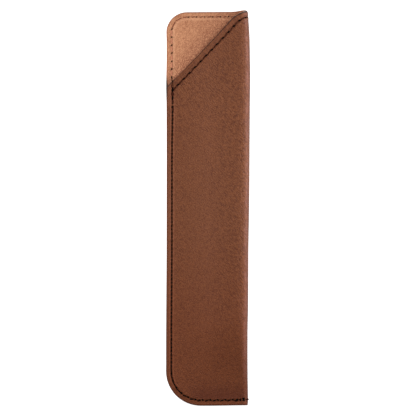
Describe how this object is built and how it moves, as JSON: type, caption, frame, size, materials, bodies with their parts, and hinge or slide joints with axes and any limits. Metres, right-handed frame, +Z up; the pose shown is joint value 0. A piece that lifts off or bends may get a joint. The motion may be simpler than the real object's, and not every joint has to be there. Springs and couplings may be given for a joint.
{
  "type": "fountain pen case",
  "caption": "Slim folded leather slip case for a single fountain pen, suede lined, with a slanted mouth, a tall rounded back tongue and a stitched side and bottom.",
  "frame": {"origin": "under the middle of the case, on the surface that its back lies on", "axes": "+X across the case towards the folded side, +Y along the case towards the mouth, +Z up out of the front panel"},
  "size_m": [0.0344, 0.165, 0.009],
  "materials": {
    "leather": "fine pebbled grain, satin",
    "suede": "napped, matte",
    "adhesive": "dull, hidden in the seam",
    "edge_paint": "satin edge paint",
    "dark_thread": "twisted polyester thread",
    "tan_thread": "twisted polyester thread"
  },
  "bodies": {
    "root": {"outer_leather": "leather", "suede_lining": "suede", "seam_adhesive_strip": "adhesive", "mouth_edge_coat": "edge_paint", "closing_edge_coat": "edge_paint", "mouth_needle_thread": "dark_thread", "mouth_bobbin_thread": "tan_thread", "closing_needle_thread": "dark_thread", "closing_bobbin_thread": "dark_thread"}
  },
  "joints": []
}
